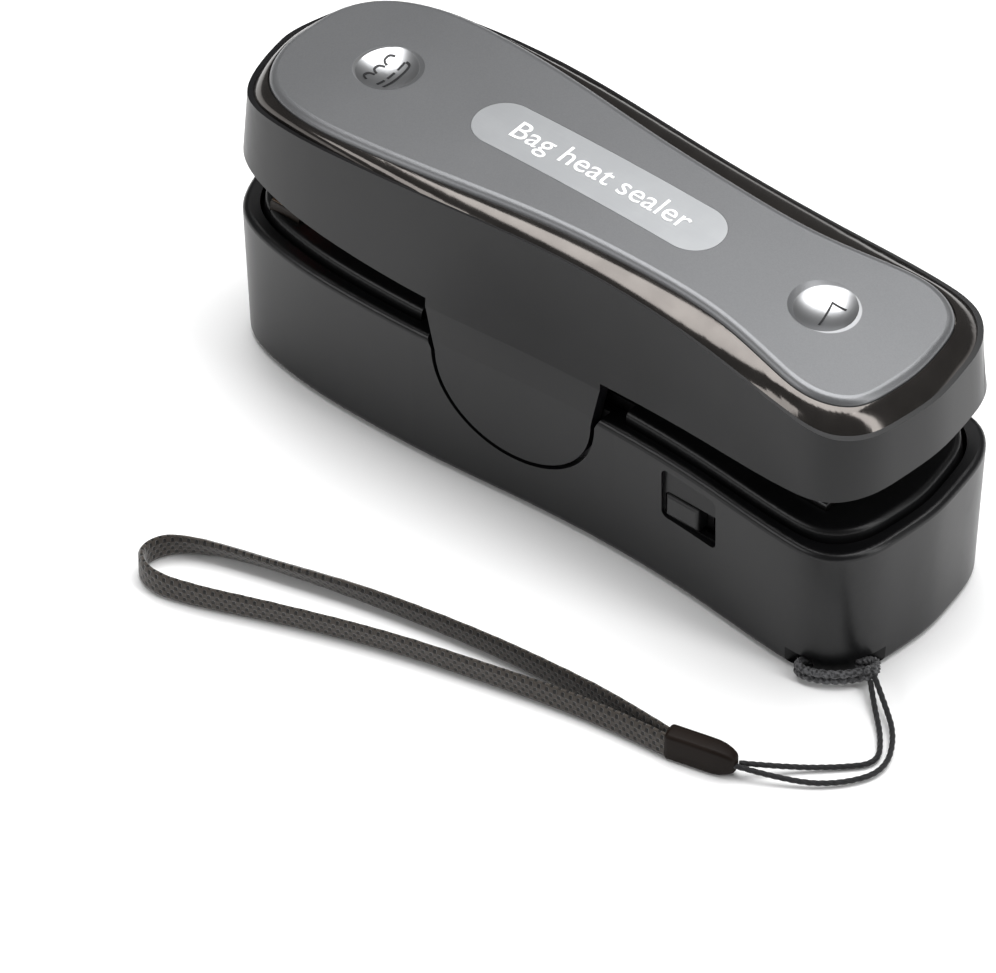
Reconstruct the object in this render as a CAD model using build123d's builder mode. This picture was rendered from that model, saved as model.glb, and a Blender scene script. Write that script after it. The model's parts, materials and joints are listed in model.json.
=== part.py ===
from build123d import *
import os
from math import radians, sqrt, tan

os.makedirs("parts", exist_ok=True)

# ---------------------------------------------------------------- driving dimensions (mm)
# X runs along the sealer: the heat-seal end is at -X and the cutter end at +X.
# The rocker arm turns about the pivot pin, which lies along Y. The near side is -Y.
HALF_LENGTH = 56.0
BASE_RIM_Z = 22.5
BASE_DRAFT = 0.6
WALL = 2.0
FIT = 0.15

# Plan outlines as (x, half width) stations from the seal end to the cutter end.
BODY_PLAN = [
    (-56.0, 0.0), (-54.6, 7.0), (-51.6, 12.8), (-44.0, 16.2), (-30.0, 17.5), (-14.0, 17.0),
    (0.0, 15.8), (15.0, 15.2), (30.0, 15.9), (44.0, 17.2), (50.8, 16.2), (54.0, 12.4),
    (55.4, 6.5), (56.0, 0.0),
]
PANEL_PLAN = [
    (-52.0, 0.0), (-51.2, 6.2), (-48.2, 10.9), (-42.0, 14.0), (-30.0, 14.8), (-15.0, 13.4),
    (0.0, 11.5), (14.0, 10.6), (28.0, 10.9), (38.0, 12.8), (45.5, 13.2), (49.8, 10.6),
    (51.5, 5.5), (52.0, 0.0),
]

PIVOT_X, PIVOT_Z = -2.0, 20.4
PIN_RADIUS = 1.5
PIN_FIT = 0.04
PIN_HALF_SPAN = 14.3

TONGUE_Z, TONGUE_RADIUS = 20.8, 12.5
TONGUE_FLARE, TONGUE_RISE = 1.5, 7.2
NOTCH_GAP, NOTCH_FLARE = 0.65, 3.2
TONGUE_INNER_Y = 13.1
POCKET_Y, POCKET_WALL = 12.7, 1.5
POCKET_HALF, POCKET_TOP_Z = 16.5, 22.3

# The arm bows: (height at the ends, height in the middle) of its foot, rim and top panel.
ARM_FOOT = (32.6, 29.0)
ARM_RIM = (41.2, 46.3)
PANEL_TOP = (44.3, 48.0)
ARM_DRAFT = 1.2
ARM_FLOOR = 1.8
FOOT_ROUND, RIM_ROUND, DECK_ROUND = 1.2, 0.9, 0.8
BEZEL_INSET = 1.5
PANEL_THICK = 1.5
PANEL_ROUND, PANEL_SHOWN, PANEL_GAP = 1.2, 0.8, 0.15
LEDGE_WIDTH, LEDGE_THICK = 1.6, 0.8

DIMPLE_X, DIMPLE_RADIUS, DIMPLE_DEPTH = 37.0, 4.6, 1.2
LABEL_X, LABEL_LENGTH, LABEL_WIDTH, LABEL_THICK = -0.8, 40.5, 8.8, 0.45

DECK_Z, DECK_LOW_Z, DECK_INSET = 24.0, 21.0, 2.4
COVER_TOP_Z = 1.6
BOSS_RADIUS, SCREW_RADIUS, HEAD_RADIUS = 2.6, 1.0, 1.9
SCREW_SPOTS = [(x, y) for x in (-48.5, 47.0) for y in (-6.0, 6.0)]

HEATER_X, HEATER_HALF, HEATER_Z = -44.8, 12.0, 25.2
HEATER_WIDTH, HEATER_SEAT_Z = 5.0, 22.8
STRIP_WIDTH, STRIP_THICK = 1.6, 0.15
TAPE_GAP, TAPE_THICK = 0.02, 0.12
TERMINAL_Y, TERMINAL_RADIUS, TERMINAL_LOW_Z = 10.6, 0.6, 19.0
PAD_X, PAD_LOW_Z, PAD_WIDTH, PAD_TOP_Z = -43.6, 30.3, 4.0, 33.2
HOLDER_WIDTH, HOLDER_LOW_Z, HOLDER_TOP_Z = 6.4, 31.2, 34.6

ANVIL_X, ANVIL_WIDTH, ANVIL_HALF, ANVIL_Z = 43.4, 5.2, 10.8, 24.9
ANVIL_SEAT_Z, SLOT_WIDTH, SLOT_HALF, SLOT_LOW_Z = 22.6, 2.4, 9.4, 23.0
BLADE_X, BLADE_THICK, BLADE_HALF = 42.0, 0.5, 8.0
BLADE_TIP_Z, BLADE_SHOULDER_Z, BLADE_TOP_Z = 29.4, 32.2, 38.2
CLAMP_THICK, CLAMP_LOW_Z, CLAMP_TOP_Z = 2.4, 33.4, 38.6

PLUNGER_OFFSET, PLUNGER_GAP = 14.0, 0.15
CUP_RADIUS, CUP_FLOOR_Z, CUP_LOW_Z = 3.2, 14.0, 12.6
CAP_RADIUS, CAP_LOW_Z, CAP_DOME = 2.8, 25.6, 0.6
STEM_RADIUS, STEM_LOW_Z, STEM_FIT = 1.0, 11.9, 0.06
SPRING_RADIUS, SPRING_WIRE, SPRING_TURNS = 2.1, 0.45, 6

BATTERY = (-39.0, -7.0, 9.5, 1.8, 6.2)          # low x, high x, half width, low z, high z
BOARD = (-22.0, 36.0, 10.4, 6.8, 8.0)
BOARD_TAB_X, BOARD_TAB_HALF = 15.0, 12.2
POST_SPOTS = [(x, y) for x in (-3.0, 33.0) for y in (-8.0, 8.0)]
POST_RADIUS = 1.8

PORT_X, PORT_WIDTH, PORT_HEIGHT, PORT_Z = 26.0, 8.94, 3.26, 9.7
PORT_INNER_Y, PORT_OUTER_Y = 7.8, 15.0
LENS_X, LENS_Z, LENS_RADIUS = 17.0, 9.8, 0.8

SLOT_X0, SLOT_X1, SLOT_Z0, SLOT_Z1 = 22.8, 31.8, 12.3, 16.4
SCOOP_TOP_Z, SCOOP_Y = 20.4, 14.7
KNOB_LENGTH, KNOB_HEIGHT, KNOB_TRAVEL = 5.4, 3.7, 3.0
KNOB_OUTER_Y, KNOB_INNER_Y, KNOB_FLANGE_Y = 15.1, 12.6, 13.0

TUNNEL_START, TUNNEL_END = Vector(46.0, -17.1), Vector(54.1, -10.3)
TUNNEL_WIDTH, TUNNEL_Z0, TUNNEL_Z1 = 2.5, 0.6, 3.0
CORNER_BLOCK_Z = 4.6

ARM_SCREW_SPOTS = [(x, y) for x in (-28.0, 27.0) for y in (-6.0, 6.0)]

# The strap: a thin double cord from the base's corner to a clasp, then a flat woven loop.
CORD_DIAMETER = 0.8
BAND_THICK, BAND_WIDTH, BAND_Z = 0.9, 4.0, 0.05
CLASP_CENTRE, CLASP_ANGLE = (48.2, -37.9), 14.0
CLASP_LENGTH, CLASP_WIDTH, CLASP_HEIGHT = 9.3, 5.8, 3.6
CLASP_CORNER, CLASP_TOP_ROUND = 1.2, 0.8
KNOT_CENTRE, KNOT_RADIUS = (56.1, -12.3, 1.6), 1.3
HITCH_GAP, HITCH_IN, HITCH_OUT = 0.3, 0.4, 0.6
HITCH_REACH_LONG, HITCH_REACH_WIDE, HITCH_BAR_WIDE = 1.6, 12.8, 1.4
CORD_INNER = [
    (56.9, -13.2, 1.1), (59.4, -15.8, 0.8), (62.9, -18.7, 0.6), (64.5, -22.8, 0.6),
    (62.0, -28.0, 0.6), (57.6, -31.9, 0.8), (53.0, -35.7, 1.7),
]
CORD_OUTER = [
    (57.2, -12.7, 2.1), (60.6, -14.7, 1.6), (65.0, -18.4, 0.8), (67.5, -24.0, 0.6),
    (64.6, -29.7, 0.6), (59.6, -33.6, 0.8), (53.4, -37.3, 1.7),
]
BAND_ROUTE = [
    (43.4, -38.4), (34.5, -38.4), (25.0, -38.9), (12.5, -40.2), (-3.5, -43.1), (-16.0, -46.3),
    (-25.0, -49.0), (-30.6, -52.4), (-32.0, -57.0), (-28.0, -59.6), (-21.5, -57.9),
    (-11.0, -53.4), (3.0, -48.2), (15.5, -44.9), (27.0, -42.1), (35.5, -40.6), (43.1, -40.3),
]


# ---------------------------------------------------------------- shared shapes
def plan_points(plan, inset):
    """Both sides of a plan outline as closed-curve points, moved in by the inset."""
    half_length = plan[-1][0]
    half_width = max(width for _, width in plan)
    grow_x = (half_length - inset) / half_length
    grow_y = (half_width - inset) / half_width
    near = [(x * grow_x, -width * grow_y) for x, width in plan]
    far = [(x, -y) for x, y in reversed(near[1:-1])]
    return near + far


def draw_outline(plan, inset=0.0):
    """Fill the plan outline in the open sketch."""
    with BuildLine() as outline:
        Spline(*plan_points(plan, inset), periodic=True)
    make_face(outline.edges())


def outline_loft(plan, z0, inset0, z1, inset1, mode=Mode.ADD):
    """Loft the outline between two heights, each with its own inset."""
    with BuildSketch(Plane.XY.offset(z0)) as first:
        draw_outline(plan, inset0)
    with BuildSketch(Plane.XY.offset(z1)) as second:
        draw_outline(plan, inset1)
    loft([first.sketch, second.sketch], mode=mode)


def arch_z(x, arch, lift=0.0):
    """Height at x of an arch given as (height at the ends, height in the middle)."""
    end_z, mid_z = arch
    return lift + mid_z + (end_z - mid_z) * (x / HALF_LENGTH) ** 2


def keep_between(low, high, low_lift=0.0, high_lift=0.0):
    """Cut the open part down to what lies between two arches."""
    reach = HALF_LENGTH * 1.1
    corners = [
        (-reach, arch_z(reach, low, low_lift)), (reach, arch_z(reach, low, low_lift)),
        (reach, arch_z(reach, high, high_lift)), (-reach, arch_z(reach, high, high_lift)),
    ]
    with BuildSketch(Plane.XZ) as profile:
        with BuildLine():
            ThreePointArc(corners[0], (0, arch_z(0, low, low_lift)), corners[1])
            Line(corners[1], corners[2])
            ThreePointArc(corners[2], (0, arch_z(0, high, high_lift)), corners[3])
            Line(corners[3], corners[0])
        make_face()
    extrude(profile.sketch, amount=HALF_LENGTH, both=True, mode=Mode.INTERSECT)


def draw_tongue(grow, flare):
    """Fill the U of a pivot tongue, or of its notch, in an open XZ sketch."""
    radius = TONGUE_RADIUS + grow
    top_z = TONGUE_Z + TONGUE_RISE
    left, right = PIVOT_X - radius, PIVOT_X + radius
    with BuildLine() as outline:
        ThreePointArc((left, TONGUE_Z), (PIVOT_X, TONGUE_Z - radius), (right, TONGUE_Z))
        Line((right, TONGUE_Z), (right + flare, top_z))
        Line((right + flare, top_z), (left - flare, top_z))
        Line((left - flare, top_z), (left, TONGUE_Z))
    make_face(outline.edges())


def box_between(x0, x1, y0, y1, z0, z1, mode=Mode.ADD):
    """A box given by its faces."""
    with Locations(((x0 + x1) / 2, (y0 + y1) / 2, (z0 + z1) / 2)):
        Box(x1 - x0, y1 - y0, z1 - z0, mode=mode)


def rod(x, y, z0, z1, radius, mode=Mode.ADD):
    """An upright cylinder between two heights."""
    with BuildSketch(Plane.XY.offset(z0)) as disc:
        with Locations((x, y)):
            Circle(radius)
    extrude(disc.sketch, amount=z1 - z0, mode=mode)


def cross_rod(x, z, y0, y1, radius, mode=Mode.ADD):
    """A cylinder along Y between two sides."""
    with BuildSketch(Plane.XZ.offset(-y0)) as disc:
        with Locations((x, z)):
            Circle(radius)
    extrude(disc.sketch, amount=y0 - y1, mode=mode)


def save(builder, name):
    """Label a finished piece and write it to its file."""
    builder.part.label = name
    export_step(builder.part, f"parts/{name}.step")


# ---------------------------------------------------------------- base shell
with BuildPart() as base_blank:
    outline_loft(BODY_PLAN, 0, BASE_DRAFT, BASE_RIM_Z, 0)
    fillet(base_blank.faces().sort_by(Axis.Z)[0].edges(), FOOT_ROUND)
    fillet(base_blank.faces().sort_by(Axis.Z)[-1].edges(), RIM_ROUND)

tunnel_middle = (TUNNEL_START + TUNNEL_END) / 2
tunnel_way = TUNNEL_END - TUNNEL_START
tunnel_plane = Plane(
    origin=(tunnel_middle.X, tunnel_middle.Y, TUNNEL_Z0),
    x_dir=(tunnel_way.X, tunnel_way.Y, 0),
    z_dir=(0, 0, 1),
)

with BuildPart() as corner_block:
    with BuildSketch(tunnel_plane.offset(-TUNNEL_Z0)):
        with Locations((0, -8)):
            Rectangle(tunnel_way.length * 2, 21)
    extrude(amount=CORNER_BLOCK_Z)

with BuildPart() as base_ribs:
    for side in (-1, 1):
        y_low, y_high = sorted((side * (POCKET_Y - POCKET_WALL), side * 20))
        x_low, x_high = PIVOT_X - POCKET_HALF, PIVOT_X + POCKET_HALF
        box_between(x_low, x_high, y_low, y_high, COVER_TOP_Z + FIT, POCKET_TOP_Z)
    add(corner_block.part)
    add(base_blank.part, mode=Mode.INTERSECT)

with BuildPart() as base_shell:
    add(base_blank.part)
    outline_loft(BODY_PLAN, -1, BASE_DRAFT + WALL, BASE_RIM_Z + 1, WALL, mode=Mode.SUBTRACT)
    add(base_ribs.part)
    for side in (-1, 1):
        with BuildSketch(Plane.XZ.offset(side * POCKET_Y)):
            draw_tongue(NOTCH_GAP, NOTCH_FLARE)
        extrude(amount=side * 8, mode=Mode.SUBTRACT)
    cross_rod(PIVOT_X, PIVOT_Z, -POCKET_Y - 1, POCKET_Y + 1, PIN_RADIUS, mode=Mode.SUBTRACT)
    with BuildSketch(tunnel_plane):
        Rectangle(tunnel_way.length * 1.6, TUNNEL_WIDTH)
    extrude(amount=TUNNEL_Z1 - TUNNEL_Z0, mode=Mode.SUBTRACT)
    with BuildSketch(Plane.XZ.offset(12)):
        with Locations(((SLOT_X0 + SLOT_X1) / 2, (SLOT_Z0 + SLOT_Z1) / 2)):
            RectangleRounded(SLOT_X1 - SLOT_X0, SLOT_Z1 - SLOT_Z0, 0.8)
    extrude(amount=6, mode=Mode.SUBTRACT)
    with BuildSketch(Plane.XZ.offset(SCOOP_Y)):
        with Locations(((SLOT_X0 + SLOT_X1) / 2, (SLOT_Z0 + SCOOP_TOP_Z) / 2)):
            RectangleRounded(SLOT_X1 - SLOT_X0 + 0.6, SCOOP_TOP_Z - SLOT_Z0 + 0.4, 1.0)
    extrude(amount=3, mode=Mode.SUBTRACT)
    with BuildSketch(Plane.XZ.offset(-18)):
        with Locations((PORT_X, PORT_Z)):
            SlotOverall(PORT_WIDTH + 0.5, PORT_HEIGHT + 0.5)
    extrude(amount=6, mode=Mode.SUBTRACT)
    cross_rod(LENS_X, LENS_Z, 12, 18, LENS_RADIUS + 0.05, mode=Mode.SUBTRACT)
save(base_shell, "base_shell")

# ---------------------------------------------------------------- bottom cover and screws
with BuildPart() as bottom_cover:
    outline_loft(BODY_PLAN, 0, BASE_DRAFT + WALL + FIT, COVER_TOP_Z, BASE_DRAFT + WALL + FIT)
    for x, y in POST_SPOTS:
        rod(x, y, COVER_TOP_Z, BOARD[3], POST_RADIUS)
    with BuildSketch(tunnel_plane.offset(-TUNNEL_Z0)):
        with Locations((0, -8 + FIT)):
            Rectangle(tunnel_way.length * 2 + 2 * FIT, 21)
    extrude(amount=CORNER_BLOCK_Z, mode=Mode.SUBTRACT)
    with Locations(*[(x, y, 0) for x, y in SCREW_SPOTS]):
        Cylinder(HEAD_RADIUS + FIT, 2 * 0.9, mode=Mode.SUBTRACT)
        Cylinder(SCREW_RADIUS + FIT, 2 * COVER_TOP_Z + 1, mode=Mode.SUBTRACT)
save(bottom_cover, "bottom_cover")


def screw(x, y, z_head, length, head_height, rise=1):
    """A pan-head screw whose head starts at z_head, pointing up when rise is 1."""
    rod(x, y, z_head, z_head + rise * head_height, HEAD_RADIUS)
    rod(x, y, z_head, z_head + rise * length, SCREW_RADIUS)
    with BuildSketch(Plane.XY.offset(z_head)) as cross:
        with Locations((x, y)):
            Rectangle(2.2, 0.4)
            Rectangle(0.4, 2.2)
    extrude(cross.sketch, amount=rise * 0.5, mode=Mode.SUBTRACT)


with BuildPart() as cover_screws:
    for x, y in SCREW_SPOTS:
        screw(x, y, 0.05, 8.0, 0.8)
save(cover_screws, "cover_screws")

# ---------------------------------------------------------------- deck
with BuildPart() as base_deck:
    outline_loft(BODY_PLAN, DECK_LOW_Z, DECK_INSET, DECK_Z, DECK_INSET + 0.3)
    fillet(base_deck.faces().sort_by(Axis.Z)[-1].edges(), DECK_ROUND)
    for side in (-1, 1):
        y_low, y_high = sorted((side * (POCKET_Y - POCKET_WALL - FIT), side * HALF_LENGTH))
        x_low, x_high = PIVOT_X - POCKET_HALF - FIT, PIVOT_X + POCKET_HALF + FIT
        box_between(x_low, x_high, y_low, y_high, DECK_LOW_Z - 1, DECK_Z + 1, mode=Mode.SUBTRACT)
    cross_rod(PIVOT_X, PIVOT_Z, -POCKET_Y, POCKET_Y, PIN_RADIUS + FIT, mode=Mode.SUBTRACT)
    for side in (-1, 1):
        x = PIVOT_X + side * PLUNGER_OFFSET
        rod(x, 0, CUP_LOW_Z, DECK_LOW_Z, CUP_RADIUS + 1.3)
        rod(x, 0, CUP_FLOOR_Z, DECK_Z + 1, CUP_RADIUS, mode=Mode.SUBTRACT)
        rod(x, 0, CUP_LOW_Z - 1, CUP_FLOOR_Z, STEM_RADIUS + STEM_FIT, mode=Mode.SUBTRACT)
    for x, y in SCREW_SPOTS:
        rod(x, y, COVER_TOP_Z, DECK_LOW_Z, BOSS_RADIUS)
        rod(x, y, COVER_TOP_Z - 1, 10, SCREW_RADIUS, mode=Mode.SUBTRACT)
    seat_half = HEATER_WIDTH / 2 + FIT
    box_between(
        HEATER_X - seat_half, HEATER_X + seat_half, -HEATER_HALF - FIT, HEATER_HALF + FIT,
        HEATER_SEAT_Z, DECK_Z + 1, mode=Mode.SUBTRACT,
    )
    for side in (-1, 1):
        hole = TERMINAL_RADIUS + 0.1
        rod(HEATER_X, side * TERMINAL_Y, DECK_LOW_Z - 1, DECK_Z, hole, mode=Mode.SUBTRACT)
    anvil_half = ANVIL_WIDTH / 2 + FIT
    box_between(
        ANVIL_X - anvil_half, ANVIL_X + anvil_half, -ANVIL_HALF - FIT, ANVIL_HALF + FIT,
        ANVIL_SEAT_Z, DECK_Z + 1, mode=Mode.SUBTRACT,
    )
save(base_deck, "base_deck")

# ---------------------------------------------------------------- heating parts
with BuildPart() as heater_block:
    half = HEATER_WIDTH / 2
    box_between(
        HEATER_X - half, HEATER_X + half, -HEATER_HALF, HEATER_HALF, HEATER_SEAT_Z, HEATER_Z
    )
    fillet(heater_block.faces().sort_by(Axis.Z)[-1].edges(), 0.3)
    for side in (-1, 1):
        hole = TERMINAL_RADIUS + 0.05
        rod(HEATER_X, side * TERMINAL_Y, HEATER_SEAT_Z, HEATER_Z, hole, mode=Mode.SUBTRACT)
save(heater_block, "heater_block")

strip_top_z = HEATER_Z + STRIP_THICK
with BuildPart() as heating_strip:
    half = STRIP_WIDTH / 2
    reach = TERMINAL_Y + 0.8
    box_between(HEATER_X - half, HEATER_X + half, -reach, reach, HEATER_Z, strip_top_z)
save(heating_strip, "heating_strip")

with BuildPart() as heater_terminals:
    for side in (-1, 1):
        rod(HEATER_X, side * TERMINAL_Y, TERMINAL_LOW_Z, HEATER_Z, TERMINAL_RADIUS)
save(heater_terminals, "heater_terminals")

with BuildPart() as ptfe_tape:
    half = HEATER_WIDTH / 2 - 0.2
    tape_z = strip_top_z + TAPE_GAP
    box_between(
        HEATER_X - half, HEATER_X + half, -HEATER_HALF + 0.1, HEATER_HALF - 0.1,
        tape_z, tape_z + TAPE_THICK,
    )
save(ptfe_tape, "ptfe_tape")

# ---------------------------------------------------------------- cutting anvil
with BuildPart() as cutting_anvil:
    half = ANVIL_WIDTH / 2
    box_between(ANVIL_X - half, ANVIL_X + half, -ANVIL_HALF, ANVIL_HALF, ANVIL_SEAT_Z, ANVIL_Z)
    fillet(cutting_anvil.faces().sort_by(Axis.Z)[-1].edges(), 0.4)
    half = SLOT_WIDTH / 2
    box_between(
        ANVIL_X - half, ANVIL_X + half, -SLOT_HALF, SLOT_HALF, SLOT_LOW_Z, ANVIL_Z + 1,
        mode=Mode.SUBTRACT,
    )
save(cutting_anvil, "cutting_anvil")

# ---------------------------------------------------------------- pivot pin
with BuildPart() as pivot_pin:
    cross_rod(PIVOT_X, PIVOT_Z, -PIN_HALF_SPAN, PIN_HALF_SPAN, PIN_RADIUS - 0.01)
    chamfer(pivot_pin.edges().filter_by(GeomType.CIRCLE), 0.3)
save(pivot_pin, "pivot_pin")

# ---------------------------------------------------------------- electronics
with BuildPart() as battery:
    x0, x1, half, z0, z1 = BATTERY
    box_between(x0, x1, -half, half, z0, z1)
    fillet(battery.edges().filter_by(Axis.X), 1.2)
save(battery, "battery")

with BuildPart() as circuit_board:
    x0, x1, half, z0, z1 = BOARD
    box_between(x0, x1, -half, half, z0, z1)
    box_between(BOARD_TAB_X, x1, -BOARD_TAB_HALF, BOARD_TAB_HALF, z0, z1)
save(circuit_board, "circuit_board")

seal_x = PIVOT_X - PLUNGER_OFFSET
with BuildPart() as press_switch:
    box_between(seal_x - 3, seal_x + 3, -3, 3, BOARD[4], BOARD[4] + 1.6)
    rod(seal_x, 0, BOARD[4] + 1.6, BOARD[4] + 2.2, 1.6)
save(press_switch, "press_switch")

with BuildPart() as charge_chip:
    box_between(2.0, 7.0, -2.5, 2.5, BOARD[4], BOARD[4] + 1.2)
save(charge_chip, "charge_chip")

with BuildPart() as usb_port:
    with BuildSketch(Plane.XZ.offset(-PORT_OUTER_Y)):
        with Locations((PORT_X, PORT_Z)):
            SlotOverall(PORT_WIDTH, PORT_HEIGHT)
    extrude(amount=PORT_OUTER_Y - PORT_INNER_Y)
    with BuildSketch(Plane.XZ.offset(-PORT_OUTER_Y)):
        with Locations((PORT_X, PORT_Z)):
            SlotOverall(PORT_WIDTH - 0.6, PORT_HEIGHT - 0.6)
    extrude(amount=PORT_OUTER_Y - PORT_INNER_Y - 0.8, mode=Mode.SUBTRACT)
    with BuildSketch(Plane.XZ.offset(-PORT_OUTER_Y + 0.6)):
        with Locations((PORT_X, PORT_Z)):
            Rectangle(6.6, 0.7)
    extrude(amount=PORT_OUTER_Y - PORT_INNER_Y - 0.6)
save(usb_port, "usb_port")

with BuildPart() as charge_light:
    box_between(LENS_X - 1, LENS_X + 1, 10.6, 11.9, BOARD[4], LENS_Z + 0.6)
save(charge_light, "charge_light")

with BuildPart() as indicator_lens:
    cross_rod(LENS_X, LENS_Z, 12.1, 15.0, LENS_RADIUS)
save(indicator_lens, "indicator_lens")

with BuildPart() as slide_switch:
    box_between(SLOT_X0 - 0.6, SLOT_X1 + 0.6, -12.2, -8.6, BOARD[4], SLOT_Z1 + 0.6)
save(slide_switch, "slide_switch")

with BuildPart() as switch_knob:
    x0 = SLOT_X0 + 0.3
    z_mid = (SLOT_Z0 + SLOT_Z1) / 2
    half = KNOB_HEIGHT / 2
    box_between(x0, x0 + KNOB_LENGTH, -KNOB_OUTER_Y, -KNOB_INNER_Y, z_mid - half, z_mid + half)
    fillet(switch_knob.faces().sort_by(Axis.Y)[0].edges(), 0.5)
    box_between(x0 - 1.0, x0 + KNOB_LENGTH + 1.0, -KNOB_FLANGE_Y, -KNOB_INNER_Y,
                z_mid - half - 0.6, z_mid + half + 0.6)
save(switch_knob, "switch_knob")


# ---------------------------------------------------------------- plungers and springs
def plunger(side):
    """A sprung plunger: a domed cap on a stem that slides in the deck."""
    x = PIVOT_X + side * PLUNGER_OFFSET
    top_z = arch_z(x, ARM_FOOT) - PLUNGER_GAP
    dome = (CAP_RADIUS**2 + CAP_DOME**2) / (2 * CAP_DOME)
    with BuildPart() as piece:
        with BuildSketch(Plane.XZ):
            with BuildLine():
                Polyline((x, top_z), (x, STEM_LOW_Z), (x + STEM_RADIUS, STEM_LOW_Z),
                         (x + STEM_RADIUS, CAP_LOW_Z), (x + CAP_RADIUS, CAP_LOW_Z),
                         (x + CAP_RADIUS, top_z - CAP_DOME))
                middle = (x + CAP_RADIUS / 2, top_z - dome + sqrt(dome**2 - CAP_RADIUS**2 / 4))
                ThreePointArc((x + CAP_RADIUS, top_z - CAP_DOME), middle, (x, top_z))
            make_face()
        revolve(axis=Axis((x, 0, 0), (0, 0, 1)))
    return piece


def return_spring(side):
    """The coil spring between the cup floor and the cap, with its wire as one helix."""
    x = PIVOT_X + side * PLUNGER_OFFSET
    low, high = CUP_FLOOR_Z + SPRING_WIRE, CAP_LOW_Z - SPRING_WIRE
    with BuildPart() as piece:
        with BuildLine() as coil:
            Helix((high - low) / SPRING_TURNS, high - low, SPRING_RADIUS, center=(x, 0, low))
        with BuildSketch(Plane(origin=coil.line @ 0, z_dir=coil.line % 0)):
            Circle(SPRING_WIRE / 2)
        sweep(path=coil.line, is_frenet=True)
    return piece


for side, word in ((-1, "seal"), (1, "cut")):
    save(plunger(side), f"{word}_plunger")
    save(return_spring(side), f"{word}_spring")

# ---------------------------------------------------------------- bezel
def ring_edge(plan, inset, arch, lift=0.0):
    """A plan outline laid on an arch, as one closed edge in space."""
    points = [(x, y, arch_z(x, arch, lift)) for x, y in plan_points(plan, inset)]
    return Edge.make_spline([Vector(*point) for point in points], periodic=True)


with BuildPart() as bezel:
    loops = [
        ring_edge(BODY_PLAN, BEZEL_INSET, ARM_RIM),
        ring_edge(PANEL_PLAN, 0, PANEL_TOP, -PANEL_SHOWN),
        ring_edge(PANEL_PLAN, 0, PANEL_TOP, -PANEL_THICK),
        ring_edge(PANEL_PLAN, LEDGE_WIDTH, PANEL_TOP, -PANEL_THICK),
        ring_edge(PANEL_PLAN, LEDGE_WIDTH, PANEL_TOP, -PANEL_THICK - LEDGE_THICK),
    ]
    bands = [
        Face.make_surface_from_curves(loop, following)
        for loop, following in zip(loops, loops[1:] + loops[:1])
    ]
    add(Solid(Shell(bands)))
save(bezel, "bezel")

# ---------------------------------------------------------------- arm shell
arm_low_z, arm_high_z = ARM_FOOT[1] - 1, ARM_RIM[1] + 1
with BuildPart() as tongues:
    outline_loft(BODY_PLAN, 0, BASE_DRAFT, BASE_RIM_Z, 0)
    outline_loft(BODY_PLAN, BASE_RIM_Z, 0, arm_low_z, 0)
    outline_loft(BODY_PLAN, arm_low_z, 0, arm_high_z, ARM_DRAFT)
    with BuildSketch(Plane.XZ):
        draw_tongue(0, TONGUE_FLARE)
        with Locations((PIVOT_X, TONGUE_Z + TONGUE_RISE + 1)):
            Rectangle(2 * (TONGUE_RADIUS + TONGUE_FLARE), 2)
    extrude(amount=30, both=True, mode=Mode.INTERSECT)
    box_between(-30, 30, -TONGUE_INNER_Y, TONGUE_INNER_Y, 0, 40, mode=Mode.SUBTRACT)

with BuildPart() as arm_hollow:
    outline_loft(BODY_PLAN, arm_low_z, WALL, arm_high_z + 2, ARM_DRAFT + WALL)
    keep_between(ARM_FOOT, ARM_RIM, low_lift=ARM_FLOOR, high_lift=2)

with BuildPart() as arm_shell:
    outline_loft(BODY_PLAN, arm_low_z, 0, arm_high_z, ARM_DRAFT)
    keep_between(ARM_FOOT, ARM_RIM)
    add(arm_hollow.part, mode=Mode.SUBTRACT)
    add(bezel.part, mode=Mode.SUBTRACT)
    add(tongues.part)
    span = PIN_HALF_SPAN + 0.1
    cross_rod(PIVOT_X, PIVOT_Z, -span, span, PIN_RADIUS + PIN_FIT, mode=Mode.SUBTRACT)
    half = HOLDER_WIDTH / 2 + FIT
    pad_half = HEATER_HALF + 1 + FIT
    box_between(PAD_X - half, PAD_X + half, -pad_half, pad_half, 28, 36, mode=Mode.SUBTRACT)
    box_between(BLADE_X - 0.8, BLADE_X + 0.8, -9, 9, 28, 36, mode=Mode.SUBTRACT)
    for x, y in ARM_SCREW_SPOTS:
        foot = arch_z(x, ARM_FOOT)
        rod(x, y, foot - 2, foot + 0.9, HEAD_RADIUS + FIT, mode=Mode.SUBTRACT)
        rod(x, y, foot - 2, foot + 3, SCREW_RADIUS + FIT, mode=Mode.SUBTRACT)
save(arm_shell, "arm_shell")


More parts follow.
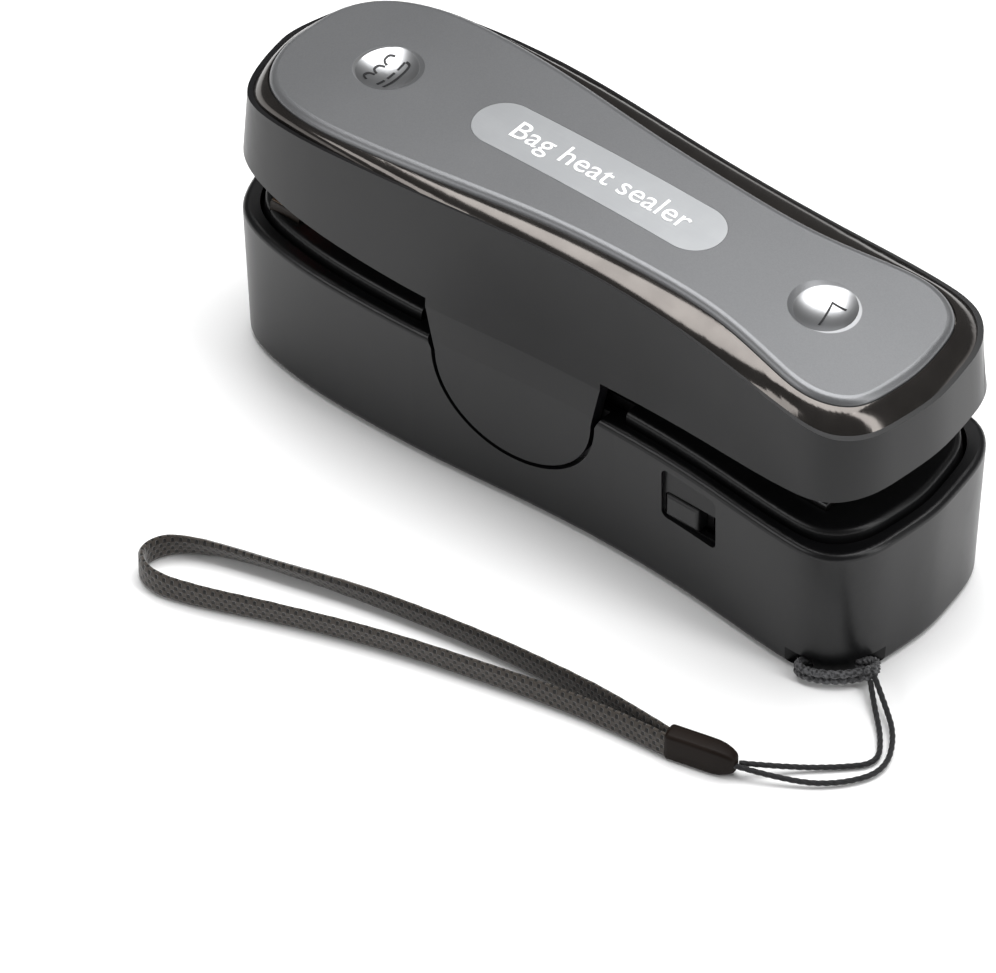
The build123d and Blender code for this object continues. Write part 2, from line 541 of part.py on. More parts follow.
# ---------------------------------------------------------------- top panel
with BuildPart() as top_panel:
    outline_loft(PANEL_PLAN, PANEL_TOP[0] - 4, PANEL_GAP, PANEL_TOP[1] + 4, PANEL_GAP)
    keep_between(PANEL_TOP, PANEL_TOP, low_lift=-PANEL_THICK + 0.03)
    fillet(top_panel.faces().sort_by(Axis.Z)[-1].edges(), PANEL_ROUND)
    for x in (-DIMPLE_X, DIMPLE_X):
        top = arch_z(x, PANEL_TOP)
        rod(x, 0, top - 2.8, top - 1.0, DIMPLE_RADIUS + 1)
        ball = (DIMPLE_RADIUS**2 + DIMPLE_DEPTH**2) / (2 * DIMPLE_DEPTH)
        with Locations((x, 0, top - DIMPLE_DEPTH + ball)):
            Sphere(ball, mode=Mode.SUBTRACT)
    for x, y in ARM_SCREW_SPOTS:
        floor = arch_z(x, ARM_FOOT, ARM_FLOOR)
        rod(x, y, floor + 0.2, arch_z(x, PANEL_TOP, -1), 2.2)
        rod(x, y, floor - 1, floor + 7, SCREW_RADIUS, mode=Mode.SUBTRACT)
    with BuildSketch(Plane.XY.offset(PANEL_TOP[1] - 1)):
        with Locations((LABEL_X, 0)):
            SlotOverall(LABEL_LENGTH + 0.1, LABEL_WIDTH + 0.1)
    extrude(amount=2, mode=Mode.SUBTRACT)
save(top_panel, "top_panel")

with BuildPart() as label_plate:
    with BuildSketch(Plane.XY.offset(PANEL_TOP[1] - 0.98)):
        with Locations((LABEL_X, 0)):
            SlotOverall(LABEL_LENGTH, LABEL_WIDTH)
    extrude(amount=2)
    keep_between((40, 44), PANEL_TOP)
save(label_plate, "label_plate")

with BuildPart() as arm_screws:
    for x, y in ARM_SCREW_SPOTS:
        screw(x, y, arch_z(x, ARM_FOOT) + 0.05, 8.0, 0.8)
save(arm_screws, "arm_screws")

# ---------------------------------------------------------------- pad and its holder
with BuildPart() as pad_holder:
    half = HOLDER_WIDTH / 2
    box_between(PAD_X - half, PAD_X + half, -HEATER_HALF - 1, HEATER_HALF + 1,
                HOLDER_LOW_Z, HOLDER_TOP_Z)
    half = PAD_WIDTH / 2
    box_between(PAD_X - half, PAD_X + half, -HEATER_HALF, HEATER_HALF,
                HOLDER_LOW_Z - 1, PAD_TOP_Z, mode=Mode.SUBTRACT)
save(pad_holder, "pad_holder")

with BuildPart() as silicone_pad:
    with BuildSketch(Plane.XZ.offset(-HEATER_HALF + 0.05)):
        with BuildLine():
            half = PAD_WIDTH / 2 - 0.02
            shoulder_z = PAD_LOW_Z + 0.8
            left, right = PAD_X - half, PAD_X + half
            ThreePointArc((left, shoulder_z), (PAD_X, PAD_LOW_Z), (right, shoulder_z))
            Line((right, shoulder_z), (right, PAD_TOP_Z))
            Line((right, PAD_TOP_Z), (left, PAD_TOP_Z))
            Line((left, PAD_TOP_Z), (left, shoulder_z))
        make_face()
    extrude(amount=2 * (HEATER_HALF - 0.05))
save(silicone_pad, "silicone_pad")

# ---------------------------------------------------------------- blade and its clamp
with BuildPart() as cutter_blade:
    with BuildSketch(Plane.YZ.offset(BLADE_X - BLADE_THICK / 2)):
        Polygon(
            (-BLADE_HALF, BLADE_TOP_Z), (BLADE_HALF, BLADE_TOP_Z),
            (BLADE_HALF, BLADE_SHOULDER_Z), (0, BLADE_TIP_Z), (-BLADE_HALF, BLADE_SHOULDER_Z),
            align=None,
        )
    extrude(amount=BLADE_THICK)
    for y in (-5, 5):
        with Locations(Location((BLADE_X, y, 36), (0, 90, 0))):
            Cylinder(SCREW_RADIUS + FIT, 4, mode=Mode.SUBTRACT)
save(cutter_blade, "cutter_blade")

for word, side in (("blade_holder", -1), ("blade_clamp", 1)):
    with BuildPart() as cheek:
        near_x = BLADE_X + side * (BLADE_THICK / 2 + 0.02)
        x_low, x_high = sorted((near_x, near_x + side * CLAMP_THICK))
        box_between(x_low, x_high, -9, 9, CLAMP_LOW_Z, CLAMP_TOP_Z)
        for y in (-5, 5):
            with Locations(Location((near_x, y, 36), (0, 90, 0))):
                Cylinder(SCREW_RADIUS + 0.02, 8, mode=Mode.SUBTRACT)
    save(cheek, word)

with BuildPart() as blade_screws:
    shank_end = BLADE_X - BLADE_THICK / 2 - CLAMP_THICK + 0.2
    head_x = BLADE_X + BLADE_THICK / 2 + CLAMP_THICK + 0.1
    for y in (-5, 5):
        with BuildSketch(Plane.YZ.offset(shank_end)):
            with Locations((y, 36)):
                Circle(SCREW_RADIUS)
        extrude(amount=head_x - shank_end)
        with BuildSketch(Plane.YZ.offset(head_x)):
            with Locations((y, 36)):
                Circle(HEAD_RADIUS)
        extrude(amount=1.0)
save(blade_screws, "blade_screws")


# ---------------------------------------------------------------- strap
def corner_radii(points):
    """The radius of each bend of a route: 0.45 of its shorter run over tan(half the turn)."""
    route = [Vector(*point) for point in points]
    radii = []
    for before, corner, after in zip(route, route[1:], route[2:]):
        turn = (corner - before).get_angle(after - corner)
        shorter = min((corner - before).length, (after - corner).length)
        radii.append(0.45 * shorter / tan(radians(turn) / 2))
    return radii


with BuildPart() as strap_hitch:
    hitch_z0, hitch_z1 = TUNNEL_Z0 + HITCH_GAP, TUNNEL_Z1 - HITCH_GAP
    outline_loft(BODY_PLAN, hitch_z0, -HITCH_OUT, hitch_z1, -HITCH_OUT)
    outline_loft(BODY_PLAN, hitch_z0, HITCH_IN, hitch_z1, HITCH_IN, mode=Mode.SUBTRACT)
    with BuildSketch(tunnel_plane):
        with Locations((0, HITCH_IN - HITCH_REACH_WIDE / 2)):
            Rectangle(tunnel_way.length * HITCH_REACH_LONG, HITCH_REACH_WIDE)
    extrude(amount=CORNER_BLOCK_Z, mode=Mode.INTERSECT)
    with BuildSketch(tunnel_plane.offset(HITCH_GAP)):
        Rectangle(tunnel_way.length + HITCH_REACH_LONG, HITCH_BAR_WIDE)
    extrude(amount=hitch_z1 - hitch_z0)
    with Locations(KNOT_CENTRE):
        Sphere(KNOT_RADIUS)
save(strap_hitch, "strap_hitch")

for word, route in (("inner", CORD_INNER), ("outer", CORD_OUTER)):
    radii = corner_radii(route)
    with BuildPart() as strap_cord:
        with BuildLine() as path:
            FilletPolyline(*route, radius=radii)
        with BuildSketch(Plane(origin=path.line @ 0, z_dir=path.line % 0)):
            Circle(CORD_DIAMETER / 2)
        sweep(path=path.line)
    print(f"strap_cord_{word}: length {path.wire().length:.1f}, volume {strap_cord.part.volume:.2f}")
    print("  radii", [round(radius, 1) for radius in radii])
    save(strap_cord, f"strap_cord_{word}")

with BuildPart() as strap_clasp:
    with BuildSketch(Plane.XY):
        with Locations(Location((*CLASP_CENTRE, 0), (0, 0, CLASP_ANGLE))):
            RectangleRounded(CLASP_LENGTH, CLASP_WIDTH, CLASP_CORNER)
    extrude(amount=CLASP_HEIGHT)
    fillet(strap_clasp.faces().sort_by(Axis.Z)[-1].edges(), CLASP_TOP_ROUND)
save(strap_clasp, "strap_clasp")

band_radii = corner_radii(BAND_ROUTE)
with BuildPart() as strap_band:
    with BuildSketch(Plane.XY.offset(BAND_Z)):
        with BuildLine() as band_path:
            FilletPolyline(*BAND_ROUTE, radius=band_radii)
        trace(line_width=BAND_THICK)
    extrude(amount=BAND_WIDTH)
print(f"strap_band: length {band_path.wire().length:.1f}, volume {strap_band.part.volume:.1f}")
print("  radii", [round(radius, 1) for radius in band_radii])
save(strap_band, "strap_band")
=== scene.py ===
# %% [markdown]
# # A handheld bag heat sealer
# The real thing is a small rocker: press one end to seal a bag, press the other to cut it.
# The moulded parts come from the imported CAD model, which is loaded here as a fixed frame.
# Everything soft, springy or printed is built on top of that frame: the wrist strap, two coil
# springs, the lettering and the two pictograms. Every part then gets a finish of shader nodes.

# %% Load the fixed frame
import json
import math

import bmesh
import bpy
from mathutils import Matrix, Vector
from mathutils.bvhtree import BVHTree

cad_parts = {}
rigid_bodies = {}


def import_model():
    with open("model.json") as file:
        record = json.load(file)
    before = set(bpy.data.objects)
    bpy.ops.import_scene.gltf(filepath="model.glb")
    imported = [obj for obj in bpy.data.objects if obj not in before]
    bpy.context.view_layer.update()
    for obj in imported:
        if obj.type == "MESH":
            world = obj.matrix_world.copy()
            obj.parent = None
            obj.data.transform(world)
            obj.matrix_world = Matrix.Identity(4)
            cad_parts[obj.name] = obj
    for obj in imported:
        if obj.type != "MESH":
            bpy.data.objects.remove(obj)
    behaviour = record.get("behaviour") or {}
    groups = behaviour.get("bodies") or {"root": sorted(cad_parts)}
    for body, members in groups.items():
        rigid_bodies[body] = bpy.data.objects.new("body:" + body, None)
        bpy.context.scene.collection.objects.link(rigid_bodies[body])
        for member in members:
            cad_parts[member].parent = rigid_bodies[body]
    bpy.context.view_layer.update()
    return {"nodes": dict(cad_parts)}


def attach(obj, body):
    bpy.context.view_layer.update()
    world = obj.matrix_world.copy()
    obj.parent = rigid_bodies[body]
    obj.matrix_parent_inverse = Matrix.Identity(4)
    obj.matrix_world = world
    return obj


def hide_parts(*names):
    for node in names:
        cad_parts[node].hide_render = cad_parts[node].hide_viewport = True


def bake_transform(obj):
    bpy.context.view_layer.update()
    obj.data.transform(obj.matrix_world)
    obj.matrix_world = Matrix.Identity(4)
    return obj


for leftover in list(bpy.data.objects):
    bpy.data.objects.remove(leftover)
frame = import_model()
nodes = frame["nodes"]

MM = 0.001
TURN = 2 * math.pi


def millimetres(points):
    """Points given in millimetres, as vectors in metres."""
    return [Vector(point) * MM for point in points]


# %% [markdown]
# ## Where the camera stands
# A long lens that stands far away keeps parallel edges nearly parallel. The camera could be
# placed by hand, but two angles, a distance and the point it looks at are easier to read and to
# correct. It stands in front and to the right, looking down.

# %% Camera
CAMERA_TURN, CAMERA_RISE = math.radians(39.71), math.radians(43.51)
CAMERA_DISTANCE, LENS_MM = 1.130, 315.2
LOOK_AT = Vector((0.0082, -0.0313, 0.0203))
CLIP_START = 0.05

towards_camera = Vector((
    math.sin(CAMERA_TURN) * math.cos(CAMERA_RISE),
    -math.cos(CAMERA_TURN) * math.cos(CAMERA_RISE),
    math.sin(CAMERA_RISE),
))
camera_data = bpy.data.cameras.new("camera")
camera_data.lens = LENS_MM
camera_data.clip_start = CLIP_START
camera = bpy.data.objects.new("camera", camera_data)
camera.location = LOOK_AT + towards_camera * CAMERA_DISTANCE
camera.rotation_euler = towards_camera.to_track_quat("Z", "Y").to_euler()
bpy.context.scene.collection.objects.link(camera)
bpy.context.scene.camera = camera
print("camera at", tuple(round(value, 4) for value in camera.location))

# %% [markdown]
# ## The wrist strap, as lines first
# The strap is a thin double cord that leaves a knot at the base's corner, a small clasp, and a
# flat woven loop that lies on the table on its edge. Cords keep their length, so each one starts
# as a smooth line through a few chosen points. A NURBS spline suits this better than a polyline,
# because it has no corners at the points. A section is then swept along it. The thin cords get a
# three-lobed section that turns as it goes, which is what a laid cord is.

# %% Routes of the strap, in millimetres
CORD_WIDE, BAND_THICK, BAND_HIGH = 0.8, 0.9, 4.0
INNER_ROUTE = [
    (56.4, -13.8, 1.9), (58.9, -16.2, 1.0), (62.9, -19.8, 0.5), (65.5, -23.8, 0.5),
    (62.2, -27.5, 0.5), (57.4, -31.9, 0.8), (52.7, -36.4, 2.1),
]
OUTER_ROUTE = [
    (56.6, -13.2, 2.4), (59.7, -15.2, 1.5), (64.4, -18.8, 0.8), (67.1, -24.4, 0.6),
    (64.4, -29.6, 0.6), (59.4, -33.8, 0.8), (52.5, -37.2, 2.1),
]
BAND_ROUTE = [
    (44.0, -38.75, 2.05), (34.5, -38.4, 2.05), (25.0, -38.9, 2.05), (12.5, -40.2, 2.05),
    (-3.5, -43.1, 2.05), (-16.0, -46.3, 1.9), (-25.0, -49.0, 1.9), (-30.6, -52.4, 2.05),
    (-32.0, -57.0, 2.05), (-28.0, -59.6, 2.05), (-21.5, -57.9, 2.05), (-11.0, -53.4, 2.05),
    (3.0, -48.2, 2.05), (15.5, -44.9, 2.05), (27.0, -42.1, 2.05), (35.5, -40.6, 2.05),
    (43.9, -39.75, 2.05),
]
BAND_LEAN = [0, 0, -4, -8, -16, -34, -30, -6, 0, 0, 4, 8, 10, 8, 4, 0, 0]


# %% A section swept along a smooth line
def smooth_line(name, route, closed=False, detail=12):
    """A curve object whose one NURBS spline is led by the route's points."""
    curve = bpy.data.curves.new(name, "CURVE")
    curve.dimensions = "3D"
    spline = curve.splines.new("NURBS")
    spline.points.add(len(route) - 1)
    for point, place in zip(spline.points, millimetres(route)):
        point.co = (*place, 1)
    spline.order_u = 3
    spline.use_cyclic_u = closed
    spline.use_endpoint_u = not closed
    spline.resolution_u = detail
    line = bpy.data.objects.new(name, curve)
    bpy.context.scene.collection.objects.link(line)
    return line


def as_mesh(curve_object):
    """The mesh that a curve or text object shows."""
    bpy.context.view_layer.update()
    graph = bpy.context.evaluated_depsgraph_get()
    return bpy.data.meshes.new_from_object(curve_object.evaluated_get(graph))


def section_of(outline):
    """A closed flat curve to sweep, from points in millimetres."""
    curve = bpy.data.curves.new("section", "CURVE")
    spline = curve.splines.new("POLY")
    spline.points.add(len(outline) - 1)
    for point, (across, up) in zip(spline.points, outline):
        point.co = (across * MM, up * MM, 0, 1)
    spline.use_cyclic_u = True
    section = bpy.data.objects.new("section", curve)
    bpy.context.scene.collection.objects.link(section)
    return section


def sweep(line, section, tilts, twist_mode):
    """Sweep a section along a line and return the mesh, and the points of the line itself."""
    path = [vertex.co.copy() for vertex in as_mesh(line).vertices]
    curve = line.data
    for point, tilt in zip(curve.splines[0].points, tilts):
        point.tilt = tilt
    curve.twist_mode = twist_mode
    curve.bevel_mode = "OBJECT"
    curve.bevel_object = section
    curve.use_fill_caps = True
    mesh = as_mesh(line)
    bpy.data.objects.remove(line)
    bpy.data.objects.remove(section)
    return mesh, path


def path_length(path):
    """The length of a line through its points, in metres."""
    return sum((after - before).length for before, after in zip(path, path[1:]))


def measure_along(mesh, path):
    """Turn the first number of the piece's UV map into metres along the path."""
    travelled = [0.0]
    for before, after in zip(path, path[1:]):
        travelled.append(travelled[-1] + (after - before).length)
    steps = len(path) - 1
    for corner in mesh.uv_layers[0].data:
        place = corner.uv[0] * steps
        index = min(int(place), steps - 1)
        start, end = travelled[index], travelled[index + 1]
        corner.uv[0] = start + (end - start) * (place - index)


def lobed(diameter, depth, lobes=3, corners=21):
    """The outline of a cord laid from a few strands. Depth is how far the hollows go in."""
    outline = []
    for corner in range(corners):
        angle = TURN * corner / corners
        radius = diameter / 2 * (1 - depth + depth * math.cos(lobes * angle))
        outline.append((radius * math.cos(angle), radius * math.sin(angle)))
    return outline


def twist_along(route, pitch):
    """How far the section has turned at each point of the route, one turn for each pitch."""
    turned = [0.0]
    for before, after in zip(route, route[1:]):
        turned.append(turned[-1] + TURN * math.dist(before, after) / pitch)
    return turned


MERGE_DISTANCE = 1e-6


def finish_piece(name, mesh, smooth_angle=math.radians(50)):
    """Merge doubles, point the faces outwards, shade smoothly and put the mesh in the scene."""
    work = bmesh.new()
    work.from_mesh(mesh)
    bmesh.ops.remove_doubles(work, verts=work.verts, dist=MERGE_DISTANCE)
    bmesh.ops.recalc_face_normals(work, faces=work.faces)
    work.to_mesh(mesh)
    work.free()
    mesh.polygons.foreach_set("use_smooth", [True] * len(mesh.polygons))
    mesh.set_sharp_from_angle(angle=smooth_angle)
    piece = bpy.data.objects.new(name, mesh)
    bpy.context.scene.collection.objects.link(piece)
    print(name, len(mesh.polygons), "faces")
    return piece


# %% The two thin cords
CORD_PITCH, CORD_LAY, CORD_DETAIL = 3.4, 0.07, 40


def thin_cord(name, route):
    """A thin laid cord along a route, and the points of its line."""
    line = smooth_line(name, route, detail=CORD_DETAIL)
    section = section_of(lobed(CORD_WIDE, CORD_LAY))
    mesh, path = sweep(line, section, twist_along(route, CORD_PITCH), "MINIMUM")
    return finish_piece(name, mesh), path


inner_cord, inner_path = thin_cord("strap_cord_inner_laid", INNER_ROUTE)
outer_cord, outer_path = thin_cord("strap_cord_outer_laid", OUTER_ROUTE)
print("inner cord", path_length(inner_path), "outer cord", path_length(outer_path))

# %% [markdown]
# ## The flat woven loop
# A woven strap held in a clasp keeps its two ends face to face, so the loop between them stands
# on its edge and leans a little where it is slack. The section is a thin rounded strip. The curve
# keeps it upright, and a tilt at each point leans it. Its edges aren't ruled straight: each weft
# thread pushes them out a little, so the edge vertices are moved by a slow and a quick wave.

# %% The woven band
def strip(thick, high, corner=0.32, steps=8):
    """The outline of a flat strip with soft edges."""
    half_thick, half_high = thick / 2, high / 2
    side = [half_high * (2 * step / steps - 1) for step in range(1, steps)]
    right = [(half_thick, up) for up in side]
    top = [(half_thick - corner, half_high), (corner - half_thick, half_high)]
    return right + top + [(-across, -up) for across, up in right] + [(-a, -u) for a, u in top]


BAND_DETAIL = 24
band_line = smooth_line("band", BAND_ROUTE, detail=BAND_DETAIL)
band_mesh, band_path = sweep(
    band_line, section_of(strip(BAND_THICK, BAND_HIGH)),
    [math.radians(lean) for lean in BAND_LEAN], "Z_UP",
)
measure_along(band_mesh, band_path)
EDGE_START, EDGE_WAVE, BAND_MIDDLE = 1.4 * MM, 0.07 * MM, 2.05 * MM
SLOW_WAVE, QUICK_WAVE, BAND_FOOT = 9.5 * MM, 2.7 * MM, 0.01 * MM
for vertex in band_mesh.vertices:
    above_middle = vertex.co.z - BAND_MIDDLE
    if abs(above_middle) > EDGE_START:
        slow = math.sin(vertex.co.x * TURN / SLOW_WAVE)
        quick = math.sin(vertex.co.x * TURN / QUICK_WAVE)
        vertex.co.z += math.copysign(EDGE_WAVE * (0.6 * slow + 0.4 * quick), above_middle)
        vertex.co.z = max(vertex.co.z, BAND_FOOT)
strap_band = finish_piece("strap_band_woven", band_mesh)
print("band", path_length(band_path), "points", len(band_path))


# %% [markdown]
# ## The hitch and its knot
# Where the strap meets the base, a loop of doubled cord is threaded through two slots and round
# the corner between them, then drawn tight in a knot. Two laid cords, one above the other, follow
# a closed line round that corner. The knot is the same cord wound round itself: a closed line
# that goes twice round a small ring while it passes three times through it, which is a trefoil.

# %% Hitch
HITCH_CORD, HITCH_LOW, HITCH_HIGH = 1.16, 1.2, 2.28
HITCH_LAY, HITCH_PITCH, HITCH_DETAIL = 0.12, 2.6, 30
HITCH_ROUND = [
    (47.1, -16.9), (47.5, -17.9), (49.4, -17.8), (52.2, -16.3), (54.3, -14.0), (55.5, -11.9),
    (55.2, -10.7), (54.2, -10.9), (52.1, -12.7), (49.0, -15.3),
]
KNOT_CENTRE, KNOT_CORD, KNOT_REACH = Vector((55.7, -13.1, 2.35)), 0.7, 0.27
KNOT_PITCH, KNOT_DETAIL, KNOT_SLOPE = 2.0, 12, math.radians(50)


def closed_length(route):
    """The length round a closed route, its last side included."""
    return sum(math.dist(before, after) for before, after in zip(route, route[1:] + route[:1]))


def closed_cord(route, diameter, pitch, detail):
    """A laid cord along a closed line. It makes whole turns, so its lobes meet at the seam."""
    line = smooth_line("loop", route, closed=True, detail=detail)
    thirds = round(3 * closed_length(route) / pitch)
    whole = TURN * thirds / 3
    tilts = [whole * index / len(route) for index in range(len(route))]
    mesh, _ = sweep(line, section_of(lobed(diameter, HITCH_LAY)), tilts, "MINIMUM")
    return mesh


def trefoil(centre, reach, count=24):
    """Points of a small three-lobed knot round a centre, drawn flat against a slope."""
    lean = Matrix.Rotation(KNOT_SLOPE, 3, Vector((0.6, 0.8, 0)))
    points = []
    for step in range(count):
        angle = TURN * step / count
        loop = Vector((
            math.sin(angle) + 2 * math.sin(2 * angle),
            math.cos(angle) - 2 * math.cos(2 * angle),
            -1.3 * math.sin(3 * angle),
        ))
        points.append(tuple(centre + lean @ loop * reach))
    return points


def join_meshes(name, meshes):
    """One mesh that holds several."""
    work = bmesh.new()
    for mesh in meshes:
        work.from_mesh(mesh)
    joined = bpy.data.meshes.new(name)
    work.to_mesh(joined)
    work.free()
    return joined


hitch_loops = [
    closed_cord(
        [(x, y, height) for x, y in HITCH_ROUND], HITCH_CORD, HITCH_PITCH, HITCH_DETAIL
    )
    for height in (HITCH_LOW, HITCH_HIGH)
]
knot_loop = closed_cord(trefoil(KNOT_CENTRE, KNOT_REACH), KNOT_CORD, KNOT_PITCH, KNOT_DETAIL)
hitch = finish_piece("strap_hitch_laid", join_meshes("hitch", hitch_loops + [knot_loop]))

# %% [markdown]
# ## The crimp
# The band's two ends and the thin cords meet in a small moulded crimp. It is a flat sleeve that
# stands on its edge like the band, and it narrows to a round nose where the cords come out. A
# cube is the quickest start: it is cut into rings along its length, the rings near the nose are
# drawn in, the edges are bevelled, and the mouth is inset and pushed in to take the band.

# %% Crimp
CRIMP_LONG, CRIMP_WIDE, CRIMP_HIGH = 9.9, 2.8, 4.4
CRIMP_MIDDLE, CRIMP_TURN = (47.85, -37.98), math.radians(14)
NOSE_START, NOSE_DRAWN_IN, NOSE_CURVE = 0.12, 0.42, 2.5
CRIMP_RINGS, CRIMP_ROUND, MOUTH_LIP, MOUTH_DEEP = 9, 0.6, 0.05, 1.2

crimp_work = bmesh.new()
bmesh.ops.create_cube(crimp_work, size=1.0)
lengthwise = [
    edge for edge in crimp_work.edges if abs(edge.verts[0].co.x - edge.verts[1].co.x) > 0.5
]
bmesh.ops.subdivide_edges(crimp_work, edges=lengthwise, cuts=CRIMP_RINGS)
for vertex in crimp_work.verts:
    into_nose = max(0.0, (vertex.co.x - NOSE_START) / (0.5 - NOSE_START))
    drawn = 1 - NOSE_DRAWN_IN * into_nose ** NOSE_CURVE
    vertex.co.y *= drawn
    vertex.co.z *= drawn
crimp_size = Vector((CRIMP_LONG, CRIMP_WIDE, CRIMP_HIGH)) * MM
bmesh.ops.scale(crimp_work, vec=crimp_size, verts=crimp_work.verts)
creases = [edge for edge in crimp_work.edges if edge.calc_face_angle() > math.radians(30)]
bmesh.ops.bevel(
    crimp_work, geom=creases, offset=CRIMP_ROUND * MM, segments=5, profile=0.5, affect="EDGES",
    material=-1, clamp_overlap=True,
)
crimp_work.faces.ensure_lookup_table()
mouth = min(crimp_work.faces, key=lambda face: face.calc_center_median().x)
bmesh.ops.inset_individual(crimp_work, faces=[mouth], thickness=MOUTH_LIP * MM, depth=0.0)
bmesh.ops.inset_individual(
    crimp_work, faces=[mouth], thickness=0.4 * MOUTH_LIP * MM, depth=-MOUTH_DEEP * MM
)
crimp_place = Matrix.Translation(Vector((*CRIMP_MIDDLE, CRIMP_HIGH / 2)) * MM)
bmesh.ops.transform(
    crimp_work, matrix=crimp_place @ Matrix.Rotation(CRIMP_TURN, 4, "Z"), verts=crimp_work.verts
)
crimp_mesh = bpy.data.meshes.new("crimp")
crimp_work.to_mesh(crimp_mesh)
crimp_work.free()
crimp = finish_piece("strap_clasp_crimp", crimp_mesh, math.radians(35))

# %% [markdown]
# ## The coil springs
# Under each end of the arm a plunger stands on a coil spring. A coil can't be a rigid part,
# because it shortens as the plunger comes down. Each one here is a copy of the frame's own coil,
# with its place baked into its mesh, and the frame's own coil is hidden.

# %% Springs
coils = []
for spring_name, plunger in (("seal_spring", "seal_plunger"), ("cut_spring", "cut_plunger")):
    coil = finish_piece(spring_name + "_coil", nodes[spring_name].data.copy())
    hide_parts(spring_name)
    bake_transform(coil)
    coils.append(coil)

# %% [markdown]
# ## The frame's own strap is hidden
# All of the strap hangs from the base, so it rides on the base. The frame's own strap parts are
# hidden here, and the swept pieces take their place.

for piece, cad_node in (
    (inner_cord, "strap_cord_inner"), (outer_cord, "strap_cord_outer"),
    (strap_band, "strap_band"), (hitch, "strap_hitch"), (crimp, "strap_clasp"),
):
    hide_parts(cad_node)

# %% [markdown]
# ## Shader sums written as sums
# A finish is a small graph of nodes. Wiring it by hand hides the idea under the plumbing, so an
# output socket is wrapped in a class that knows +, -, * and the rest: each one adds a Math node.
# Every other node comes from one method that takes its kind, its settings and its inputs.


# %% Wires and finishes
class Wire:
    """One output socket, so that sums on it read like sums."""

    def __init__(self, finish, socket):
        self.finish = finish
        self.socket = socket

    def _sum(self, operation, left, right=0.5):
        return self.finish.node("Math", {"operation": operation}, {0: left, 1: right})

    def __add__(self, other):
        return self._sum("ADD", self, other)

    def __sub__(self, other):
        return self._sum("SUBTRACT", self, other)

    def __rsub__(self, other):
        return self._sum("SUBTRACT", other, self)

    def __mul__(self, other):
        return self._sum("MULTIPLY", self, other)

    def __truediv__(self, other):
        return self._sum("DIVIDE", self, other)

    def __abs__(self):
        return self._sum("ABSOLUTE", self)

    __radd__ = __add__
    __rmul__ = __mul__


class Finish:
    """A material built round one Principled shader."""

    def __init__(self, name, **constants):
        self.material = bpy.data.materials.new(name)
        self.material.use_nodes = True
        self.tree = self.material.node_tree
        self.shader = self.tree.nodes["Principled BSDF"]
        for key, value in constants.items():
            self.feed(self.shader.inputs[key.replace("_", " ")], value)

    def feed(self, socket, value):
        if isinstance(value, Wire):
            self.tree.links.new(value.socket, socket)
        else:
            socket.default_value = value

    def node(self, kind, settings=(), inputs=(), output=0):
        made = self.tree.nodes.new("ShaderNode" + kind)
        for name, value in dict(settings).items():
            setattr(made, name, value)
        for key, value in dict(inputs).items():
            self.feed(made.inputs[key], value)
        return Wire(self, made.outputs[output])

    def drive(self, socket_name, wire):
        self.feed(self.shader.inputs[socket_name], wire)

    def place(self):
        """Where on the piece, in metres."""
        return self.node("TexCoord", output="Object")

    def stretch(self, vector, scale):
        return self.node("VectorMath", {"operation": "MULTIPLY"}, {0: vector, 1: scale})

    def parts(self, vector):
        """The x, y and z of a vector, each as a number."""
        first = self.node("SeparateXYZ", {}, {0: vector})
        outputs = first.socket.node.outputs
        return [Wire(self, outputs[axis]) for axis in ("X", "Y", "Z")]

    def noise(self, scale, detail=2.0, vector=None):
        """Soft cloudy noise about a half. The scale is in lumps for each metre."""
        where = self.place() if vector is None else vector
        return self.node("TexNoise", {}, {"Vector": where, "Scale": scale, "Detail": detail})

    def fade(self, value, low, high):
        """A smooth step from 0 to 1 as the value goes from low to high."""
        settings = {"interpolation_type": "SMOOTHSTEP"}
        return self.node("MapRange", settings, {0: value, 1: low, 2: high})

    def mix(self, mask, first, second):
        """One colour where the mask is 0, another where it is 1. Either may be a wire."""
        first, second = (
            colour if isinstance(colour, Wire) else (*colour, 1) for colour in (first, second)
        )
        return self.node("Mix", {"data_type": "RGBA"}, {0: mask, 6: first, 7: second}, output=2)

    def sine(self, wire):
        return self.node("Math", {"operation": "SINE"}, {0: wire})

    def length(self, vector):
        return self.node("VectorMath", {"operation": "LENGTH"}, {0: vector}, output="Value")

    def bump(self, height, depth):
        """Push the surface's shading out by the height times a depth in metres."""
        inputs = {"Height": height, "Distance": depth, "Strength": 1.0}
        self.drive("Normal", self.node("Bump", {}, inputs))


# %% [markdown]
# ## The moulded plastics
# Moulded plastic is never flat: the tool leaves a fine grain, and handling makes some patches a
# little shinier. An image of a grain could be wrapped on, but noise in object space needs no
# unwrapping and stays the same size on every part. Two noises do the work. A fine one gives the
# grain and a broad one varies the sheen.


# %% Moulded plastic
def plastic(name, dark, light, roughness, grain_depth, shine=0.4, grain=5200.0):
    finish = Finish(name, Specular_IOR_Level=shine)
    grain_noise = finish.noise(grain, 3.0)
    cloud = finish.noise(70.0, 3.0)
    finish.drive("Base Color", finish.mix(finish.fade(cloud, 0.35, 0.65), dark, light))
    finish.drive("Roughness", roughness - 0.05 + cloud * 0.06 + grain_noise * 0.05)
    finish.bump(grain_noise, grain_depth)
    return finish


